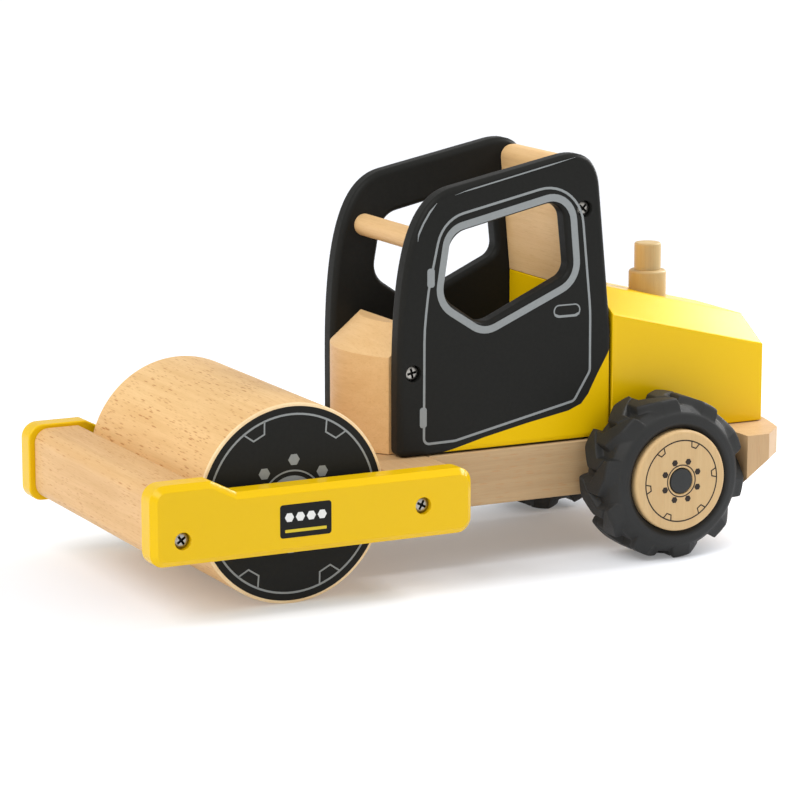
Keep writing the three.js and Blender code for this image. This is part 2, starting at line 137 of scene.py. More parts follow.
def moved(points, distance, closed=True):
    """The path moved to its left, which is inward for an outline that runs anticlockwise."""
    count = len(points)
    result = []
    for i, here in enumerate(points):
        normals = []
        if closed or i > 0:
            along = (here - points[i - 1]).normalized()
            normals.append(Vector((-along.y, along.x)))
        if closed or i < count - 1:
            along = (points[(i + 1) % count] - here).normalized()
            normals.append(Vector((-along.y, along.x)))
        total = sum(normals, Vector((0, 0)))
        result.append(here + total * (distance * len(normals) / total.length_squared))
    return result


def anticlockwise(points):
    area = sum(cross(a, b) for a, b in zip(points, points[1:] + points[:1]))
    return points if area > 0 else points[::-1]


def stroke(points, width, closed=False):
    """The outlines of a line of that width: one, or an outer and an inner one when it is closed."""
    if not closed:
        return [moved(points, -width / 2, False) + moved(points, width / 2, False)[::-1]]
    points = anticlockwise(points)
    return [moved(points, -width / 2), moved(points, width / 2)[::-1]]


def tapered(points, width):
    """The outline of a line that runs out to a thin point at both ends."""
    points = resampled(points, 1.0)
    last = len(points) - 1
    left = moved(points, width / 2, False)
    right = moved(points, -width / 2, False)
    shares = [0.12 + 0.88 * min(1.0, 5 * min(i, last - i) / last) for i in range(last + 1)]
    upper = [p.lerp(q, share) for p, q, share in zip(points, left, shares)]
    lower = [p.lerp(q, share) for p, q, share in zip(points, right, shares)]
    return [lower + upper[::-1]]


def resampled(points, step):
    result = [points[0]]
    for a, b in zip(points, points[1:]):
        count = max(1, math.ceil((b - a).length / step))
        result += [a.lerp(b, k / count) for k in range(1, count + 1)]
    return result


def polygon(centre, radius, count, first=0.0):
    return arc(centre, radius, first, first + 360 * (count - 1) / count, count - 1)


def rounded_box(u, v, radius):
    """A rectangle over the ranges u and v, with round corners."""
    return rounded([(u[0], v[0], radius), (u[1], v[0], radius), (u[1], v[1], radius), (u[0], v[1], radius)])


# ---------------------------------------------------------------- solids

def side_view(side=1):
    """Places (u, v, depth) at X, Z and Y, with Y turned over for side -1."""
    return lambda u, v, depth: (u, side * depth, v)


def plan_view(u, v, depth):
    """Places (u, v, depth) at X, Y and Z."""
    return (u, v, depth)


def as_object(bm):
    bmesh.ops.recalc_face_normals(bm, faces=bm.faces)
    mesh = bpy.data.meshes.new("solid")
    bm.to_mesh(mesh)
    bm.free()
    obj = bpy.data.objects.new("solid", mesh)
    bpy.context.scene.collection.objects.link(obj)
    return obj


def loft(bm, loops, profile, place):
    """Adds a closed solid: the loops, moved inward by each profile step (inset, depth), joined and capped.

    The first loop is the outline, anticlockwise, and the others are holes, clockwise.
    """
    rings = []
    for inset, depth in profile:
        flat = [moved(loop, inset) if inset else loop for loop in loops]
        rings.append((flat, [[bm.verts.new(place(p.x, p.y, depth)) for p in loop] for loop in flat]))
    for (_, lower), (_, upper) in zip(rings, rings[1:]):
        for a, b in zip(lower, upper):
            for i in range(len(a)):
                j = (i + 1) % len(a)
                bm.faces.new((a[i], a[j], b[j], b[i]))
    for flat, made in (rings[0], rings[-1]):
        corners = [vert for loop in made for vert in loop]
        for triangle in tessellate_polygon([[p.to_3d() for p in loop] for loop in flat]):
            bm.faces.new([corners[k] for k in triangle])


def lofted(loops, profile, place):
    bm = bmesh.new()
    loft(bm, loops, profile, place)
    return as_object(bm)


def edge_profile(low, high, radius, steps=6):
    """A profile from low to high with both edges rounded."""
    quarter = [math.radians(90 * k / steps) for k in range(steps + 1)]
    bottom = [(radius * (1 - math.sin(a)), low + radius * (1 - math.cos(a))) for a in quarter]
    top = [(radius * (1 - math.sin(a)), high - radius * (1 - math.cos(a))) for a in reversed(quarter)]
    return bottom + top


def turned(profile, segments, centre=(0, 0)):
    """A turned solid: profile of (radius, y) round the Y axis through centre.

    A profile that never reaches the axis is closed, which leaves a bore.
    """
    bm = bmesh.new()
    rings = []
    for radius, y in profile:
        if radius == 0:
            rings.append([bm.verts.new((centre[0], y, centre[1]))])
        else:
            ring = polygon(centre, radius, segments)
            rings.append([bm.verts.new((p.x, y, p.y)) for p in ring])
    bored = min(radius for radius, _ in profile) > 0
    followers = rings[1:] + rings[:1] if bored else rings[1:]
    for a, b in zip(rings, followers):
        for i in range(segments):
            j = (i + 1) % segments
            corners = [a[i % len(a)], a[j % len(a)], b[j % len(b)], b[i % len(b)]]
            unique = list(dict.fromkeys(corners))
            if len(unique) > 2:
                bm.faces.new(unique)
    return as_object(bm)


def rod_profile(radius, y0, y1, edge, steps=4):
    """Half the section of a rod whose ends have rounded edges."""
    quarter = [math.radians(90 * k / steps) for k in range(steps + 1)]
    start = [(radius - edge + edge * math.sin(a), y0 + edge - edge * math.cos(a)) for a in quarter]
    end = [(radius - edge + edge * math.cos(a), y1 - edge + edge * math.sin(a)) for a in quarter]
    return [(0, y0)] + start + end + [(0, y1)]


def block(x, y, z):
    bm = bmesh.new()
    bmesh.ops.create_cube(bm, size=1)
    for vert in bm.verts:
        vert.co = [low + (high - low) * (c + 0.5) for (low, high), c in zip((x, y, z), vert.co)]
    return as_object(bm)


def upright(obj, x):
    """Stands a solid that was turned round the Y axis up along Z."""
    obj.data.transform(Matrix.Rotation(math.radians(90), 4, "X"))
    obj.data.transform(Matrix.Translation((x, 0, 0)))
    return obj


def settled(obj):
    """Makes the modifiers part of the mesh."""
    graph = bpy.context.evaluated_depsgraph_get()
    mesh = bpy.data.meshes.new_from_object(obj.evaluated_get(graph))
    obj.modifiers.clear()
    obj.data = mesh
    return obj


def combined(obj, operation, *tools):
    for tool in tools:
        modifier = obj.modifiers.new("combine", "BOOLEAN")
        modifier.operation = operation
        modifier.solver = "EXACT"
        modifier.object = tool
        settled(obj)
        bpy.data.objects.remove(tool)
    return obj


def softened(obj, width):
    """Rounds the edges of a solid."""
    modifier = obj.modifiers.new("soften", "BEVEL")
    modifier.width = width
    modifier.segments = 3
    modifier.limit_method = "ANGLE"
    modifier.angle_limit = math.radians(30)
    return settled(obj)


def finished(obj, name, materials, nodes=(), body=None, smooth=32):
    """Puts the piece in the row frame, shades it and ties it to its body.

    Edges sharper than `smooth` degrees stay sharp.
    """
    obj.name = obj.data.name = name
    obj.data.transform(TO_METRES)
    obj.data.shade_smooth()
    obj.data.set_sharp_from_angle(angle=math.radians(smooth))
    kept_slots = [face.material_index for face in obj.data.polygons]
    obj.data.materials.clear()
    for material in materials:
        obj.data.materials.append(material)
    if len(materials) > 1:
        obj.data.polygons.foreach_set("material_index", kept_slots)
    modifier = obj.modifiers.new("normals", "WEIGHTED_NORMAL")
    modifier.keep_sharp = True
    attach(obj, body or BODY_OF[nodes[0]])
    if nodes:
        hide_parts(*nodes)
    return obj


# ---------------------------------------------------------------- finishes

def darker(colour, share):
    return [value * share for value in colour]


def srgb(red, green, blue):
    """A colour given as screen values."""
    def linear(value):
        share = value / 255
        return share / 12.92 if share <= 0.04045 else ((share + 0.055) / 1.055) ** 2.4
    return (linear(red), linear(green), linear(blue), 1)


class Finish:
    """A node material. Values given to add() are numbers, colours or the outputs of other nodes."""

    def __init__(self, name, **surface):
        self.material = bpy.data.materials.new(name)
        self.material.use_nodes = True
        self.nodes = self.material.node_tree.nodes
        self.surface = self.nodes["Principled BSDF"]
        for key, value in surface.items():
            self.surface.inputs[key.replace("_", " ")].default_value = value
        place = self.add("ShaderNodeTexCoord").outputs["Object"]
        self.place = self.maths("SCALE", place, Scale=1 / MM)

    def add(self, kind, settings=None, **inputs):
        node = self.nodes.new(kind)
        for key, value in (settings or {}).items():
            setattr(node, key, value)
        for key, value in inputs.items():
            self.give(node.inputs[int(key[1:]) if key[1:].isdigit() else key.replace("_", " ")], value)
        return node

    def give(self, socket, value):
        if isinstance(value, bpy.types.NodeSocket):
            self.material.node_tree.links.new(value, socket)
        else:
            socket.default_value = value

    def set(self, **inputs):
        for key, value in inputs.items():
            self.give(self.surface.inputs[key.replace("_", " ")], value)

    def maths(self, operation, vector, **inputs):
        """A vector operation."""
        return self.add("ShaderNodeVectorMath", {"operation": operation}, i0=vector, **inputs).outputs[0]

    def number(self, operation, *values):
        node = self.add("ShaderNodeMath", {"operation": operation})
        for socket, value in zip(node.inputs, values):
            self.give(socket, value)
        return node.outputs[0]

    def stretched(self, factors, offset=(0, 0, 0)):
        scaled = self.maths("MULTIPLY", self.place, i1=factors)
        return self.maths("ADD", scaled, i1=offset)

    def noise(self, vector, detail=3.0, roughness=0.55, distortion=0.0):
        return self.add("ShaderNodeTexNoise", Vector=vector, Scale=1.0, Detail=detail, Roughness=roughness,
                        Distortion=distortion).outputs["Fac"]

    def ramp(self, value, low, high, to_low=0.0, to_high=1.0):
        """value from low to high becomes to_low to to_high, smoothly."""
        return self.add("ShaderNodeMapRange", {"interpolation_type": "SMOOTHSTEP"}, Value=value, i1=low,
                        i2=high, i3=to_low, i4=to_high).outputs["Result"]

    def mix(self, share, first, second):
        node = self.add("ShaderNodeMix", {"data_type": "RGBA"})
        for socket, value in zip((node.inputs[0], node.inputs[6], node.inputs[7]), (share, first, second)):
            self.give(socket, value)
        return node.outputs[2]

    def bump(self, height, distance, strength=1.0):
        node = self.add("ShaderNodeBump", Height=height, Distance=distance * MM, Strength=strength)
        self.set(Normal=node.outputs["Normal"])


def along(grain, lengthwise, crosswise):
    """Scale factors with one value along the grain and another across it."""
    factors = [crosswise] * 3
    factors["XYZ".index(grain)] = lengthwise
    return tuple(factors)


FLECK = (190, 130, 70)  # colour of the marks in the wood


def beech(name, grain, offset, light, dark, flecks):
    """Lacquered beech: soft growth bands, fine fibres, and short dark flecks along the grain."""
    f = Finish(name, Roughness=0.5, Specular_IOR_Level=0.28, Coat_Weight=0.08, Coat_Roughness=0.35)
    clouds = f.noise(f.stretched(along(grain, 0.012, 0.035), offset), 2.0)
    growth = f.noise(f.stretched(along(grain, 0.012, 0.32), offset), 3.0, 0.6, 0.25)
    fibres = f.noise(f.stretched(along(grain, 0.07, 2.4), offset), 3.0, 0.65)
    pores = f.noise(f.stretched(along(grain, 0.5, 5.0), offset), 2.0, 0.7)
    shade = f.number("ADD", f.ramp(growth, 0.32, 0.7, 0, 0.5), f.ramp(clouds, 0.3, 0.7, 0, 0.5))
    colour = f.mix(shade, srgb(*light), srgb(*dark))
    colour = f.mix(f.ramp(fibres, 0.45, 0.75, 0, 0.35), colour, srgb(*darker(dark, 0.93)))
    colour = f.mix(f.ramp(pores, 0.55, 0.8, 0, 0.3), colour, srgb(*FLECK))
    dash = 0.0
    for lengthwise, crosswise, shift in ((0.13, 0.95, 0), (0.2, 1.7, 31)):
        cells = f.add("ShaderNodeTexVoronoi", Vector=f.stretched(along(grain, lengthwise, crosswise),
                      [c + shift for c in offset]), Scale=1.0, Randomness=1.0)
        chosen = f.add("ShaderNodeSeparateColor", Color=cells.outputs["Color"]).outputs[0]
        near = f.ramp(cells.outputs["Distance"], 0.16, 0.38, 1, 0)
        mark = f.number("MULTIPLY", near, f.ramp(chosen, 0.55, 0.8))
        dash = f.number("MAXIMUM", dash, mark)
    crowd = f.noise(f.stretched(along(grain, 0.025, 0.09), [c + 7 for c in offset]), 2.0)
    dash = f.number("MULTIPLY", dash, f.ramp(crowd, 0.3, 0.55, 0.4, 1))
    colour = f.mix(f.number("MULTIPLY", dash, flecks), colour, srgb(*FLECK))
    height = f.number("SUBTRACT", f.number("MULTIPLY", fibres, 0.5), dash)
    f.bump(height, 0.05, 0.6)
    f.set(Base_Color=colour, Roughness=f.ramp(fibres, 0.3, 0.8, 0.44, 0.6))
    return f.material


def paint_surface(f, roughness):
    """The slight unevenness of brushed paint over wood, with a little grain that shows through."""
    peel = f.noise(f.stretched((0.7, 0.7, 0.7)), 3.0)
    grain = f.noise(f.stretched((0.05, 1.6, 1.6)), 2.0)
    height = f.number("ADD", f.number("MULTIPLY", peel, 0.6), f.number("MULTIPLY", grain, 0.4))
    f.bump(height, 0.006, 0.2)
    f.set(Roughness=f.ramp(peel, 0.3, 0.7, roughness - 0.03, roughness + 0.03))
    return peel


YELLOW = (232, 189, 4)
YELLOW_DEEP = (229, 185, 2)
INK = (38, 38, 36)


def yellow_paint(name):
    f = Finish(name, Specular_IOR_Level=0.22)
    peel = paint_surface(f, 0.24)
    blotches = f.noise(f.stretched((0.02, 0.02, 0.02)), 2.0)
    share = f.number("MULTIPLY", f.number("ADD", peel, blotches), 0.5)
    f.set(Base_Color=f.mix(share, srgb(*YELLOW), srgb(*YELLOW_DEEP)))
    return f.material


def black_print(name):
    f = Finish(name, Specular_IOR_Level=0.07)
    peel = paint_surface(f, 0.42)
    f.set(Base_Color=f.mix(peel, srgb(*INK), srgb(*darker(INK, 0.85))))
    return f.material


def grey_print(name, colour=(146, 150, 150)):
    f = Finish(name, Specular_IOR_Level=0.25)
    peel = paint_surface(f, 0.5)
    f.set(Base_Color=f.mix(peel, srgb(*colour), srgb(*darker(colour, 0.93))))
    return f.material


BORDER_RANGE = (40.0, 90.0)  # heights between which the print's border runs
BORDER_BLUR = 0.12
REAR_LEAN = 0.02  # how far the rear edge comes forward for each millimetre of height


def panel_print(name, border, rear, foot):
    """Black print over yellow: yellow shows below the border, which gives its height along X.

    The plate's foot, and its rear edge from X `rear` at the foot, stay black.
    """
    f = Finish(name, Specular_IOR_Level=0.07)
    peel = paint_surface(f, 0.42)
    parts = f.add("ShaderNodeSeparateXYZ", Vector=f.place)
    start, end = border[0][0], border[-1][0]
    low, high = BORDER_RANGE
    curve = f.add("ShaderNodeFloatCurve")
    points = curve.mapping.curves[0].points
    shares = sorted(((x - end) / (start - end), (z - low) / (high - low)) for x, z in border)
    while len(points) < len(shares):
        points.new(0.5, 0.5)
    for point, share in zip(points, shares):
        point.location = share
        point.handle_type = "VECTOR"
    curve.mapping.update()
    x = f.number("SUBTRACT", parts.outputs["X"], ORIGIN_X / MM)
    x_share = f.add("ShaderNodeMapRange", {"clamp": False}, Value=x, i1=end, i2=start).outputs["Result"]
    f.give(curve.inputs["Value"], x_share)
    limit = f.number("ADD", f.number("MULTIPLY", curve.outputs["Value"], high - low), low)
    below = f.number("SUBTRACT", limit, parts.outputs["Z"])
    share = f.ramp(below, -BORDER_BLUR, BORDER_BLUR)
    height = f.number("SUBTRACT", parts.outputs["Z"], foot)
    share = f.number("MULTIPLY", share, f.ramp(height, 0.5, 0.7))
    inward = f.number("SUBTRACT", f.number("SUBTRACT", x, rear), f.number("MULTIPLY", height, REAR_LEAN))
    share = f.number("MULTIPLY", share, f.ramp(inward, 0.35, 0.55))
    ink = f.mix(peel, srgb(*INK), srgb(*darker(INK, 0.85)))
    f.set(Base_Color=f.mix(share, ink, f.mix(peel, srgb(*YELLOW), srgb(*YELLOW_DEEP))))
    return f.material


def rubber(name):
    f = Finish(name, Specular_IOR_Level=0.3)
    fine = f.noise(f.stretched((3.2, 3.2, 3.2)), 4.0, 0.7)
    broad = f.noise(f.stretched((0.09, 0.09, 0.09)), 3.0)
    colour = f.mix(broad, srgb(33, 33, 32), srgb(42, 42, 41))
    f.set(Base_Color=f.mix(f.ramp(fine, 0.6, 0.8, 0, 0.35), colour, srgb(66, 65, 63)))
    f.set(Roughness=f.ramp(fine, 0.3, 0.7, 0.52, 0.68))
    f.bump(fine, 0.05, 0.7)
    return f.material


def metal(name, colour, roughness):
    f = Finish(name, Metallic=1.0)
    scratches = f.noise(f.stretched((4.0, 0.6, 4.0)), 3.0, 0.7)
    f.set(Base_Color=f.mix(scratches, srgb(*colour), srgb(*darker(colour, 0.85))))
    f.set(Roughness=f.ramp(scratches, 0.3, 0.7, roughness - 0.08, roughness + 0.1))
    f.bump(scratches, 0.02, 0.5)
    return f.material


def plastic(name, colour, roughness):
    f = Finish(name, Specular_IOR_Level=0.35)
    fine = f.noise(f.stretched((1.5, 1.5, 1.5)), 3.0)
    f.set(Base_Color=f.mix(fine, srgb(*colour), srgb(*darker(colour, 0.92))))
    f.set(Roughness=f.ramp(fine, 0.3, 0.7, roughness - 0.05, roughness + 0.05))
    f.bump(fine, 0.02, 0.4)
    return f.material


# Border of the yellow part of the cab's print, as X and Z.
PRINT_BORDER = [(-75.8, 48.5), (-95.7, 53.5), (-115.2, 57.5), (-134.9, 61.0), (-140.9, 63.4),
                (-144.1, 67.2), (-148, 74.5), (-152.9, 82.9), (-155.6, 87.6)]

# Wood: the way its grain runs, where in the pattern it was cut, its light and dark tones, and its flecks.
# The chassis, hubs and exhaust posts, which face sideways, and the cab's wood inside it have darker tones than the
# drum: painted shade for the lesser light that falls on them.
drum_wood = beech("beech_drum", "Y", (0, 0, 0), (238, 198, 139), (223, 179, 118), 0.95)
# The rim's paler beech is a painted highlight on the drum's rounded edge and on the ring of face round its disc.
highlit_rim_wood = beech("beech_rim_painted_highlight", "Y", (3, 9, 4), (246, 220, 176), (238, 206, 158), 0.1)
beam_wood = beech("beech_beam", "Y", (31, 5, 12), (228, 186, 131), (212, 167, 110), 0.85)
cross_wood = beech("beech_cross_beam", "Y", (57, 15, 2), (204, 170, 126), (190, 154, 110), 0.4)
chassis_wood = beech("beech_chassis", "X", (11, 43, 7), (196, 166, 125), (178, 147, 107), 0.3)
bumper_wood = beech("beech_bumper", "Z", (19, 3, 61), (194, 161, 119), (182, 148, 107), 0.15)
cab_wood = beech("beech_cab", "Y", (5, 71, 23), (228, 190, 136), (217, 175, 119), 0.2)
rod_wood = beech("beech_rod", "Y", (41, 2, 83), (224, 186, 133), (214, 172, 117), 0.15)
post_wood = beech("beech_post", "Z", (2, 91, 47), (191, 168, 121), (181, 155, 108), 0.1)
hub_wood = beech("beech_hub", "Z", (77, 8, 33), (206, 175, 127), (197, 164, 116), 0.12)
yellow = yellow_paint("yellow_paint")
black = black_print("black_print")
grey = grey_print("grey_print")
thin_ink = grey_print("thin_ink", (46, 36, 28))
badge_bar = grey_print("badge_bar", (222, 196, 50))
badge_white = grey_print("badge_white", (236, 236, 232))
panel_rear, panel_foot = (extent("cab_panel_left")[axis][0] for axis in (0, 2))
cab_print = panel_print("cab_print", PRINT_BORDER, panel_rear, panel_foot)
tyre_rubber = rubber("tyre_rubber")
zinc = metal("zinc", (186, 182, 174), 0.36)
# Dark, dull zinc inside the screws' cross slots: painted shade in the recess.
slot_shade_zinc = metal("zinc_slot_painted_shade", (60, 58, 55), 0.7)
axle_steel = metal("axle_steel", (196, 198, 200), 0.3)
nylon = plastic("nylon", (230, 228, 220), 0.5)
cap_plastic = plastic("cap_plastic", (40, 41, 40), 0.45)

# ---------------------------------------------------------------- drum

PRINT_DEPTH = (-0.03, 0.05)  # from just inside a face to just above it
PRINT_STEP = 0.004  # between shapes of one print, so that no two tops lie in one plane
DRUM_BORE = 4.35
DRUM_EDGE = 0.8
DRUM_DISC = 38.7
DRUM_RINGS = ((35.6, 0.8), (13.2, 0.65))  # radius and width
DRUM_CENTRE = 11.2


def printed(name, shapes, face, side, material, body):
    """Flat printed shapes, each a list of loops, on a face that lies `face` from the toy's middle plane."""
    bm = bmesh.new()
    for i, loops in enumerate(shapes):
        top = PRINT_DEPTH[1] + PRINT_STEP * (i % 4)
        loft(bm, loops, [(0, face + PRINT_DEPTH[0]), (0, face + top)], side_view(side))
    finished(as_object(bm), name, [material], body=body)


def notch(centre, outer, inner, angle, outer_half, inner_half):
    """The three free sides of a small notch that hangs inward from a ring, as a path."""
    turns = [(outer, angle - outer_half), (inner, angle - inner_half), (inner, angle + inner_half),
             (outer, angle + outer_half)]
    return [arc(centre, radius, at, at, 1)[0] for radius, at in turns]


def ring_lines(centre, radius, width, count=96):
    return stroke(polygon(centre, radius, count), width, closed=True)


def make_drum():
    _, (_, y1), (z0, z1) = extent("roller_drum")
    radius = (z1 - z0) / 2
    corner = rounded([(DRUM_BORE, y1), (radius, y1, DRUM_EDGE), (radius, 0)], False, COARSE)
    half = [(p.x, p.y) for p in corner[:-1]]
    half.insert(1, (DRUM_DISC, y1))
    profile = half + [(r, -y) for r, y in reversed(half)]
    obj = turned(profile, 160, DRUM)
    # Slot 2, the paler rim wood, is a painted highlight on the rounded edge and on the ring round the disc.
    for face in obj.data.polygons:
        x, y, z = face.center
        if abs(abs(y) - y1) < 0.01:
            face.material_index = 1 if math.hypot(x - DRUM[0], z - DRUM[1]) < DRUM_DISC else 2
        elif abs(y) > y1 - DRUM_EDGE:
            face.material_index = 2
    finished(obj, "roller_drum_turned", [drum_wood, black, highlit_rim_wood], ["roller_drum"])
    for name, side in SIDES.items():
        shapes = [ring_lines(DRUM, at, width) for at, width in DRUM_RINGS]
        shapes.append([polygon(DRUM, DRUM_CENTRE, 64)])
        shapes += [stroke(notch(DRUM, 35.4, 30.9, 3 + 60 * k, 7.9, 4.8), 0.62) for k in range(6)]
        shapes += [[polygon(at, 2.45, 6)] for at in polygon(DRUM, 17.55, 8, 2.7)]
        printed(f"drum_print_{name}", shapes, y1, side, grey, "drum")


# ---------------------------------------------------------------- arms, beams and screws

ARM_CHAMFER = 2.4
ARM_STEP_X = (29.3, 40)  # the top slopes down between these
ARM_REAR_HEIGHT = 26.4
BADGE = ((-9.9, 12.0), (30.3, 43.5))  # ranges of X and Z
BADGE_BAR = ((-7.8, 9.9), (32.4, 33.6))
BADGE_DOTS = [(-5.9 + 4.65 * k, 38.4) for k in range(4)]
SCREW_HOLE = 3.45
SCREW_SUNK = 1.8
SCREW_HEAD = 3.15
SLOT_REACH = 2.0


def screw_hole(place, face, side):
    """A tool that sinks a hole 3.6 deep into a face that lies `face` from the toy's middle plane."""
    low, high = sorted((side * (face - 3.6), side * (face + 2)))
    return turned([(0, low), (SCREW_HOLE, low), (SCREW_HOLE, high), (0, high)], 48, place)


def make_arm(name, side):
    (x0, x1), ys, (z0, z1) = extent(f"arm_{name}")
    inner, outer = sorted(abs(y) for y in ys)
    rear_top = z0 + ARM_REAR_HEIGHT
    shape = rounded([(x0, z0, 6), (x1, z0, 5.5), (x1, z1, 6.5), (ARM_STEP_X[1], z1),
                     (ARM_STEP_X[0], rear_top), (x0, rear_top, 6)])
    section = rounded([(2, inner), (0, inner, 0.8), (0, outer - ARM_CHAMFER, 0.4),
                       (ARM_CHAMFER, outer, 0.4), (3.2, outer)], False, COARSE)
    obj = lofted([shape], [(p.x, p.y) for p in section], side_view(side))
    screws = [middle(f"arm_screw_{end}_{name}") for end in ("front", "rear")]
    combined(obj, "DIFFERENCE", *[screw_hole(place, outer, side) for place in screws])
    finished(obj, f"arm_{name}_painted", [yellow], [f"arm_{name}"], smooth=17)
    on_badge = outer + PRINT_DEPTH[1]
    dots = [[polygon(dot, 1.95, 6)] for dot in BADGE_DOTS]
    printed(f"arm_badge_{name}", [[rounded_box(*BADGE, 1.3)]], outer, side, black, MAIN_BODY)
    printed(f"arm_badge_pattern_{name}", dots, on_badge, side, badge_white, MAIN_BODY)
    printed(f"arm_badge_bar_{name}", [[rounded_box(*BADGE_BAR, 0.3)]], on_badge, side, badge_bar, MAIN_BODY)


def make_screw(node, face, side, turn):
    """A cross-head screw, sunk below a face that lies `face` from the toy's middle plane."""
    place = middle(node)
    top = face - SCREW_SUNK
    # Radius, and depth below the head's top.
    section = [(0, 2.2), (1.9, 2.2), (SCREW_HEAD, 1.6), (SCREW_HEAD, 0.75), (SCREW_HEAD - 0.12, 0.5),
               (SCREW_HEAD - 0.5, 0.22), (SCREW_HEAD - 1.2, 0.06), (0, 0)]
    obj = turned([(radius, side * (top - below)) for radius, below in section], 40, place)
    depth = sorted((side * (top - 1.5), side * (top + 1)))
    slots = []
    for quarter in (0, 90):
        slot = block((-SLOT_REACH, SLOT_REACH), depth, (-0.5, 0.5))
        slot.data.transform(Matrix.Rotation(math.radians(quarter + turn), 4, "Y"))
        slot.data.transform(Matrix.Translation((place[0], 0, place[1])))
        slots.append(slot)
    combined(obj, "DIFFERENCE", *slots)
    # Faces inside the cross slot take the dark zinc, which is painted shade in the recess.
    for patch in obj.data.polygons:
        x, y, z = patch.center
        in_slot = abs(y) < top - 0.3 and math.hypot(x - place[0], z - place[1]) < SLOT_REACH + 0.3
        patch.material_index = int(in_slot)
    finished(obj, f"{node}_head", [zinc, slot_shade_zinc], [node])


def make_beams():
    (x0, x1), (y0, y1), (z0, z1) = extent("front_beam")
    shape = rounded([(x0, z0, 1.2), (x1, z0, 6), (x1, z1, 6), (x0, z1, 1.2)])
    obj = lofted([shape], edge_profile(y0, y1, 0.5, 3), side_view())
    finished(obj, "front_beam_wood", [beam_wood], ["front_beam"])
    obj = softened(block(*extent("rear_cross_beam")), 0.9)
    finished(obj, "rear_cross_beam_wood", [cross_wood], ["rear_cross_beam"])


# ---------------------------------------------------------------- chassis and bumper

BUMPER_BEVEL = 12.2
BUMPER_BOW = 143.0
BUMPER_CUT = 11.0


def make_chassis():
    """The board, and the bumper: a block cut by a bowed, bevelled cone and by a wedge at its corners."""
    obj = softened(block(*extent("chassis_board")), 0.9)
    finished(obj, "chassis_board_wood", [chassis_wood], ["chassis_board"])
    (x0, x1), (y0, y1), (z0, z1) = extent("rear_bumper")
    centre = x0 + BUMPER_BOW
    end_y = y1 - BUMPER_CUT
    end_x = centre - math.sqrt(BUMPER_BOW ** 2 - end_y ** 2)
    knee = z0 + BUMPER_BEVEL
    bow = turned([(0, z0), (BUMPER_BOW - BUMPER_BEVEL, z0), (BUMPER_BOW, knee), (BUMPER_BOW, z1 + 1),
                  (0, z1 + 1)], 360)
    reach = y1 + 4 * BUMPER_BEVEL
    tip = end_x - end_y
    wedge = [Vector((tip, 0)), Vector((tip + reach, -reach)), Vector((tip + reach, reach))]
    corners = lofted([wedge], [(BUMPER_BEVEL, z0), (0, knee), (0, z1 + 1)], plan_view)
    obj = combined(block((x0 - 1, x1), (y0, y1), (z0 - 1, z1)), "INTERSECT", upright(bow, centre), corners)
    finished(softened(obj, 0.7), "rear_bumper_wood", [bumper_wood], ["rear_bumper"])


# ---------------------------------------------------------------- cab

PANEL_ROUND = 2.5
WINDOW = [(-131.9, 148.6, 7.2), (-135.2, 118.1, 6.5), (-95, 99.7, 9.5), (-76.6, 112.4, 9.5),
          (-81, 137.5, 10)]
WINDOW_FRAME = [(-136.8, 153.8, 12), (-140.4, 114.1, 13), (-95.3, 94.7, 12), (-72.6, 109.4, 13),
                (-77.6, 140.8, 11)]
FRAME_WIDTH = 3.0
DOOR_LINE = [(-68.1, 53.1, 2.4), (-82.2, 53.3, 8), (-137.4, 64.9, 3), (-144.8, 76.8, 4), (-144.7, 102, 80),
             (-139.1, 157.3, 17), (-76.4, 143.9, 15), (-70.1, 115.5, 60), (-68.3, 100, 100)]
FRONT_GLINT = [(-65.3, 135.7), (-65.6, 138.6), (-67.8, 142.9), (-70.6, 147.2), (-73.8, 150.7)]
ROOF_GLINT = [(-81.9, 153.4), (-86.5, 154.7, 4), (-137, 165.5)]
# Middle, width and height.
HINGES = [((-71.2, 120.7), 3.3, 7.7), ((-67.8, 64.1), 3.1, 8.4)]
HINGE_CORNER = 1.2
HANDLE = ((-140.0, -127.5), (100.0, 105.4))
HANDLE_CORNER = 2.6


def panel_outline(node):
    """Up the front, over the roof, down the rear and along the foot."""
    (x0, x1), _, (z0, _) = extent(node)
    points = [Vector((x1, 79.0))]
    points += bezier([(x1, 79), (x1, 129.6), (-64, 152.9), (-82, 156.5)], 28)
    points += [Vector((-131.3, 166.4))]
    points += bezier([(-131.3, 166.4), (-147.3, 169.5), (-149.2, 153)], 14)
    points += [Vector((x0, 92.0))]
    points += rounded([(x0, 92), (x0, z0, 3), (x1, z0, 3), (x1, 79)], closed=False)[1:-1]
    return points


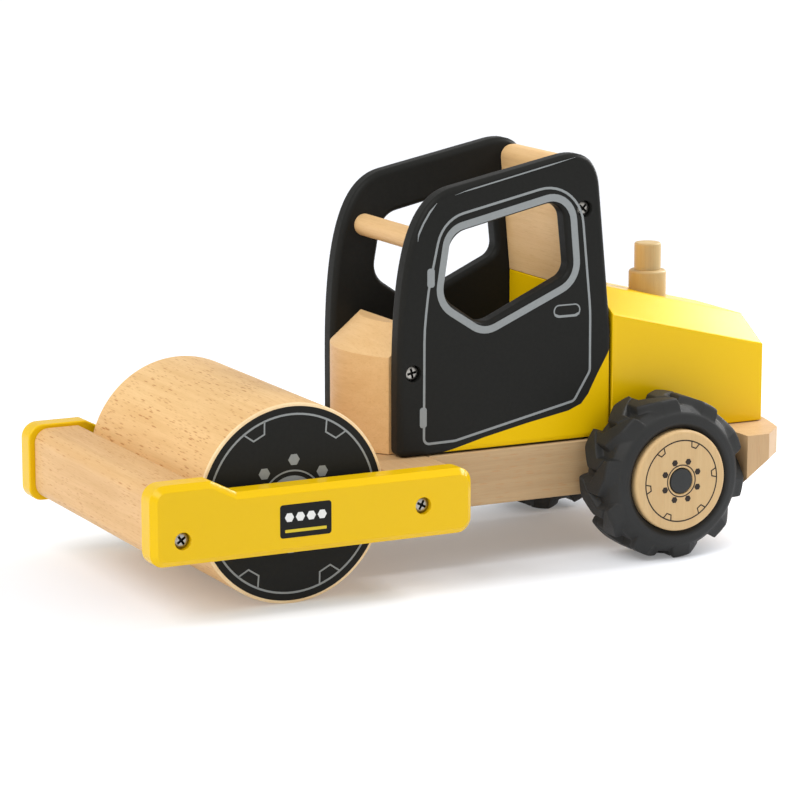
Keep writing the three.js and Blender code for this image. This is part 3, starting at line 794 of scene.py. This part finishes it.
def make_panel(name, side):
    node = f"cab_panel_{name}"
    inner, outer = sorted(abs(y) for y in extent(node)[1])
    loops = [anticlockwise(panel_outline(node)), anticlockwise(rounded(WINDOW))[::-1]]
    obj = lofted(loops, edge_profile(inner, outer, PANEL_ROUND), side_view(side))
    screws = [middle(f"cab_screw_{end}_{name}") for end in ("front", "rear")]
    combined(obj, "DIFFERENCE", *[screw_hole(place, outer, side) for place in screws])
    finished(obj, f"{node}_printed", [cab_print], [node])
    band = anticlockwise(rounded(WINDOW_FRAME))
    pill = rounded_box(*HANDLE, HANDLE_CORNER)
    (x0, x1), (z0, _) = HANDLE
    underline = rounded([(x0 + 0.6, z0 + 1.3), (x0 + 2.6, z0 + 0.5, 1.5), (x1 - 2.6, z0 + 0.5, 1.5),
                         (x1 - 0.6, z0 + 1.3)], closed=False)
    shapes = [
        [band, moved(band, FRAME_WIDTH)[::-1]],
        stroke(rounded(DOOR_LINE), 1.0, closed=True),
        [pill, moved(pill, 0.55)[::-1]],
        stroke(underline, 1.0),
        tapered(rounded([(*p, 6) for p in FRONT_GLINT], closed=False), 0.8),
        tapered(rounded(ROOF_GLINT, closed=False), 0.55),
    ]
    for (x, z), width, height in HINGES:
        u, v = width / 2, height / 2
        shapes.append([rounded_box((x - u, x + u), (z - v, z + v), HINGE_CORNER)])
    printed(f"cab_lines_{name}", shapes, outer, side, grey, MAIN_BODY)


BLOCK_BEVEL = 12.0
BLOCK_BOW = 43.0
BOARD_DEPTH = 11.5  # of the leaning board, along X


def make_cab_inside():
    """The bowed, bevelled front block, the leaning rear board and the grab bar."""
    (x0, x1), (y0, y1), (z0, z1) = extent("cab_front_block")
    half = math.degrees(math.asin((y1 + BLOCK_BEVEL) / BLOCK_BOW))
    bow = arc((x1 - BLOCK_BOW, 0), BLOCK_BOW, -half, half, 64)
    back = x0 - 4 * BLOCK_BEVEL
    shape = bow + [Vector((back, bow[-1].y)), Vector((back, bow[0].y))]
    profile = [(0, z0), (0, z1 - BLOCK_BEVEL), (BLOCK_BEVEL, z1)]
    obj = lofted([anticlockwise(shape)], profile, plan_view)
    combined(obj, "INTERSECT", block((x0, x1 + 1), (y0, y1), (z0 - 1, z1 + 1)))
    finished(softened(obj, 0.5), "cab_front_block_wood", [cab_wood], ["cab_front_block"])

    (x0, x1), (y0, y1), (z0, z1) = extent("cab_rear_board")
    shape = rounded([(x0, z0), (x0 + BOARD_DEPTH, z0), (x1, z1, 5), (x1 - BOARD_DEPTH, z1, 5)])
    obj = lofted([anticlockwise(shape)], edge_profile(y0, y1, 0.4, 3), side_view())
    finished(obj, "cab_rear_board_wood", [cab_wood], ["cab_rear_board"])

    _, (y0, y1), (z0, z1) = extent("grab_bar")
    obj = turned(rod_profile((z1 - z0) / 2, y0, y1, 0.6), 64, middle("grab_bar"))
    finished(obj, "grab_bar_wood", [rod_wood], ["grab_bar"])


# ---------------------------------------------------------------- hood and exhaust

RIDGE_Y = 18.3
SLOPE = 0.248
RIDGE_REAR_Z = 91.6
SIDE_REAR_Z = 81.2
GLUE_GAP = 0.3


def make_hood():
    """A block with a sloping, bevelled top, which narrows to go in between the panels."""
    (x0, x1), (y0, y1), (z0, z1) = extent("hood")
    inside = extent("cab_rear_board")[1][1]
    end = extent("cab_rear_board")[0][0] - GLUE_GAP
    bm = bmesh.new()
    sections = []
    for x in (x0, end):
        rise = SLOPE * (x - x0)
        outline = [(y0, z0), (y1, z0), (y1, SIDE_REAR_Z + rise), (RIDGE_Y, RIDGE_REAR_Z + rise),
                   (-RIDGE_Y, RIDGE_REAR_Z + rise), (y0, SIDE_REAR_Z + rise)]
        sections.append([bm.verts.new((x, y, z)) for y, z in outline])
    rear, front = sections
    for i in range(len(rear)):
        j = (i + 1) % len(rear)
        bm.faces.new((rear[i], rear[j], front[j], front[i]))
    bm.faces.new(rear)
    bm.faces.new(front)
    obj = as_object(bm)
    step = panel_rear - GLUE_GAP
    for low, high in ((inside, y1 + 5), (y0 - 5, -inside)):
        combined(obj, "DIFFERENCE", block((step, end + 5), (low, high), (z0 - 5, z1 + 20)))
    combined(obj, "UNION", block((end - 0.5, x1), (-inside, inside), (z0, z1)))
    finished(softened(obj, 0.9), "hood_painted", [yellow], ["hood"])


def make_exhaust():
    for node, edge in (("exhaust_base", 1.2), ("exhaust_tip", 0.9)):
        (x0, x1), _, (z0, z1) = extent(node)
        obj = upright(turned(rod_profile((x1 - x0) / 2, z0, z1, edge), 72), (x0 + x1) / 2)
        finished(obj, f"{node}_wood", [post_wood], [node])


# ---------------------------------------------------------------- rear wheels

# A lug's outline seen from outside: degrees round the tyre, and millimetres from the tread's middle.
LUG_OUTLINE = [(-5, -3), (4.5, -7.5), (4.5, -1.6), (22.5, 7.4), (24, 11.3), (10, 11.3), (-5, 4.5)]
LUGS_PER_SIDE = 10
FIRST_LUG = 31.5  # degrees
TREAD_Y = 50.4
COLUMNS_PER_LUG = 72
MM_PER_DEGREE = 0.5585  # on the tread
LUG_FLANK = (-1.3, 0.8)  # distance inside a lug's outline where its flank starts and ends
LUG_SHOULDER = 3.0  # roundness of a lug's end at the sidewall
LUG_END = 12.1  # from the tread's middle to where that roundness ends
LUG_HEIGHT = 2.9
LUG_FOOT = 26.0  # no lug is nearer to the axle than this
TYRE_BORE = 21.4


def lug_top(top, across):
    """Radius of a lug's outer surface, which falls away towards the sidewalls."""
    beyond = max(0.0, abs(across) - (LUG_END - LUG_SHOULDER))
    return top - LUG_SHOULDER + math.sqrt(max(0.0, LUG_SHOULDER ** 2 - beyond ** 2))


def signed_distance(point, outline):
    """How far inside the outline the point lies; negative outside."""
    nearest = math.inf
    inside = False
    for a, b in zip(outline, outline[1:] + outline[:1]):
        edge = b - a
        share = max(0.0, min(1.0, (point - a).dot(edge) / edge.length_squared))
        nearest = min(nearest, (point - a - edge * share).length)
        if (a.y > point.y) != (b.y > point.y) and point.x < a.x + (point.y - a.y) / edge.y * edge.x:
            inside = not inside
    return nearest if inside else -nearest


def eased(value, low, high):
    """0 up to low and 1 from high on, with a soft start and end between them."""
    share = max(0.0, min(1.0, (value - low) / (high - low)))
    return share * share * (3 - 2 * share)


def tyre_section(node):
    """The carcass from the bore over the tread and back, as radius and Y."""
    _, ys, (z0, z1) = extent(node)
    back, face = sorted(abs(y) for y in ys)
    bore, carcass = TYRE_BORE, (z1 - z0) / 2 - LUG_HEIGHT
    path = rounded([(bore, face - 2.6), (bore + 2.2, face, 1.8), (carcass - 3, face - 1, 3),
                    (carcass, face - 5, 3), (carcass, back + 3.5, 3), (carcass - 2, back + 0.6, 2),
                    (bore + 5, back, 3), (bore, back + 0.9)], closed=False, step=math.radians(12))
    return resampled(path, 0.42)


def lug_shares(section, pitch):
    """For each column of one pitch and each point of the section: 1 on a lug, 0 beside it."""
    lugs = []
    for repeat in (-1, 0, 1):
        for row, first in ((1, FIRST_LUG), (-1, FIRST_LUG + pitch / 2)):
            at = (first % pitch) + repeat * pitch
            lugs.append([Vector(((at + turn) * MM_PER_DEGREE, TREAD_Y + row * across))
                         for turn, across in LUG_OUTLINE])
    shares = []
    for k in range(COLUMNS_PER_LUG):
        round_tread = pitch * k / COLUMNS_PER_LUG * MM_PER_DEGREE
        column = []
        for p in section:
            here = Vector((round_tread, p.y))
            depth = max(signed_distance(here, lug) for lug in lugs) if p.x > LUG_FOOT else -math.inf
            column.append(eased(depth, *LUG_FLANK))
        shares.append(column)
    return shares


def make_tyre(name, side):
    node = f"tyre_{name}"
    section = tyre_section(node)
    low, high = extent(node)[2]
    top = (high - low) / 2
    pitch = 360 / LUGS_PER_SIDE
    shares = lug_shares(section, pitch)
    bm = bmesh.new()
    columns = []
    for i in range(COLUMNS_PER_LUG * LUGS_PER_SIDE):
        angle = math.radians(pitch * i / COLUMNS_PER_LUG)
        column = []
        for p, share in zip(section, shares[i % COLUMNS_PER_LUG]):
            radius = p.x + max(0.0, lug_top(top, p.y - TREAD_Y) - p.x) * share
            column.append(bm.verts.new((AXLE[0] + radius * math.cos(angle), side * p.y,
                                        AXLE[1] + radius * math.sin(angle))))
        columns.append(column)
    for a, b in zip(columns, columns[1:] + columns[:1]):
        for i in range(len(a)):
            j = (i + 1) % len(a)
            bm.faces.new((a[i], a[j], b[j], b[i]))
    finished(as_object(bm), f"tyre_{name}_lugged", [tyre_rubber], [node], smooth=60)


AXLE_BORE = 3.3
CAP_BORE = 5.45
CAP_SUNK = 3.0
HUB_RING = 16.9
CAP_RING = 6.6


def make_wheel(name, side):
    """The turned hub with its print, and the cap in its middle."""
    node = f"wheel_hub_{name}"
    _, ys, (z0, z1) = extent(node)
    back, face = sorted(abs(y) for y in ys)
    radius = (z1 - z0) / 2
    section = rounded([(AXLE_BORE, back), (radius, back, 0.6), (radius, face, 1.6), (CAP_BORE, face, 0.5),
                       (CAP_BORE, face - CAP_SUNK), (AXLE_BORE, face - CAP_SUNK)], False, COARSE)
    obj = turned([(p.x, side * p.y) for p in section], 128, AXLE)
    finished(obj, f"{node}_turned", [hub_wood], [node])
    shapes = [ring_lines(AXLE, HUB_RING, 0.55), ring_lines(AXLE, CAP_RING, 0.5, 64)]
    shapes += [stroke(notch(AXLE, HUB_RING, 14.6, 53 + 60 * k, 6.6, 4.2), 0.5) for k in range(6)]
    shapes += [[polygon(at, 1.42, 6)] for at in polygon(AXLE, 8.35, 8, 22.5)]
    printed(f"hub_print_{name}", shapes, face, side, thin_ink, "rear_wheels")

    node = f"hub_cap_{name}"
    _, ys, (z0, z1) = extent(node)
    low, high = sorted(abs(y) for y in ys)
    profile = rod_profile((z1 - z0) / 2, low, high, 0.5)
    obj = turned([(r, side * y) for r, y in profile], 64, AXLE)
    finished(obj, f"{node}_moulded", [cap_plastic], [node])


# ---------------------------------------------------------------- assembly

make_drum()
make_beams()
make_chassis()
make_cab_inside()
make_hood()
make_exhaust()
TURNS = iter((35, 62, 12, 48, 20, 75, 5, 55))  # degrees, how far each screw was driven home
for side_name, side_sign in SIDES.items():
    make_arm(side_name, side_sign)
    make_panel(side_name, side_sign)
    make_tyre(side_name, side_sign)
    make_wheel(side_name, side_sign)
    for group, plate in (("arm_screw", f"arm_{side_name}"), ("cab_screw", f"cab_panel_{side_name}")):
        plate_face = max(abs(y) for y in extent(plate)[1])
        for end in ("front", "rear"):
            make_screw(f"{group}_{end}_{side_name}", plate_face, side_sign, next(TURNS))

KEPT = {"drum_axle": axle_steel, "rear_axle": axle_steel, "drum_washer_left": nylon,
        "drum_washer_right": nylon, "wheel_washer_left": nylon, "wheel_washer_right": nylon}
for kept_node, kept_material in KEPT.items():
    frame["nodes"][kept_node].data.materials[0] = kept_material

# ---------------------------------------------------------------- floor, light and camera

FLOOR_REACH = 4000
FLOOR_COLOUR = (0.72, 0.74, 0.78, 1)
# The floor glows less at the toy than away from it, which paints a shade round the toy.
FLOOR_GLOW = (0.17, 0.27)  # at the toy and away from it
SHADE_OVAL = (190, 95)  # half axes of the oval that the toy stands in
WORLD_LIGHT = 0.62
HAZE = (0.03, 0.08)  # Z of the directions between which the white at the horizon turns to grey


def floor_finish():
    """A pale surface that glows a little more away from the toy, which makes it plain white there. Its weaker glow
    in the oval round the toy is painted shade round the toy.
    """
    f = Finish("floor_white", Roughness=0.9, Specular_IOR_Level=0.1)
    oval = f.maths("MULTIPLY", f.place, i1=(1 / SHADE_OVAL[0], 1 / SHADE_OVAL[1], 0))
    away = f.add("ShaderNodeVectorMath", {"operation": "LENGTH"}, i0=oval).outputs["Value"]
    f.set(Base_Color=FLOOR_COLOUR, Emission_Color=(1, 1, 1, 1),
          Emission_Strength=f.ramp(away, 0.5, 1.15, *FLOOR_GLOW))
    return f.material


def make_floor():
    floor = block((-FLOOR_REACH, FLOOR_REACH), (-FLOOR_REACH, FLOOR_REACH), (-10, 0))
    floor.name = "floor"
    floor.data.transform(TO_METRES)
    floor.data.materials.append(floor_finish())


def make_world():
    """An even grey studio, white at the horizon."""
    world = bpy.data.worlds.new("studio")
    bpy.context.scene.world = world
    world.use_nodes = True
    nodes, links = world.node_tree.nodes, world.node_tree.links
    direction = nodes.new("ShaderNodeTexCoord").outputs["Generated"]
    parts = nodes.new("ShaderNodeSeparateXYZ")
    haze = nodes.new("ShaderNodeMapRange")
    haze.interpolation_type = "SMOOTHSTEP"
    for key, value in zip(("From Min", "From Max", "To Min", "To Max"), (*HAZE, 1.0, WORLD_LIGHT)):
        haze.inputs[key].default_value = value
    links.new(direction, parts.inputs["Vector"])
    links.new(parts.outputs["Z"], haze.inputs["Value"])
    links.new(haze.outputs["Result"], nodes["Background"].inputs["Strength"])
    nodes["Background"].inputs["Color"].default_value = (1, 1, 1, 1)


def sun(name, towards, strength, angle):
    """A soft distant light; towards points from the floor to it."""
    data = bpy.data.lights.new(name, "SUN")
    data.energy = strength
    data.angle = math.radians(angle)
    obj = bpy.data.objects.new(name, data)
    obj.rotation_mode = "QUATERNION"
    obj.rotation_quaternion = Vector(towards).to_track_quat("Z", "Y")
    bpy.context.scene.collection.objects.link(obj)


def softbox(name, place, target, size, radiance):
    """A square light that shows in glossy paint, with sides of length size and of that radiance."""
    data = bpy.data.lights.new(name, "AREA")
    data.size = size
    data.energy = radiance * math.pi * size ** 2  # watts
    obj = bpy.data.objects.new(name, data)
    obj.location = place
    obj.rotation_mode = "QUATERNION"
    obj.rotation_quaternion = (Vector(target) - Vector(place)).to_track_quat("-Z", "Y")
    obj.visible_camera = False
    bpy.context.scene.collection.objects.link(obj)


def make_camera(place, towards, lens):
    data = bpy.data.cameras.new("camera")
    data.lens = lens
    data.sensor_width = 36
    data.clip_start = 0.01
    obj = bpy.data.objects.new("camera", data)
    obj.location = place
    obj.rotation_mode = "QUATERNION"
    obj.rotation_quaternion = Vector(towards).to_track_quat("-Z", "Y")
    bpy.context.scene.collection.objects.link(obj)
    bpy.context.scene.camera = obj


make_floor()
make_world()
# Places of lights and camera are in metres, in the row frame.
sun("key", (0.62, 0.2, 0.76), 1.8, 40)
softbox("back_light", (-0.485, -0.107, 0.26), (-0.13, 0.027, 0.09), 0.2, 11)
softbox("back_glint", (-0.376, 0.057, 0.391), (0.118, 0.07, 0.052), 0.14, 20)
make_camera((0.63036, 1.22606, 0.33875), (-0.4424, -0.8751, -0.1958), 152.96)
bpy.context.scene.view_settings.view_transform = "Standard"
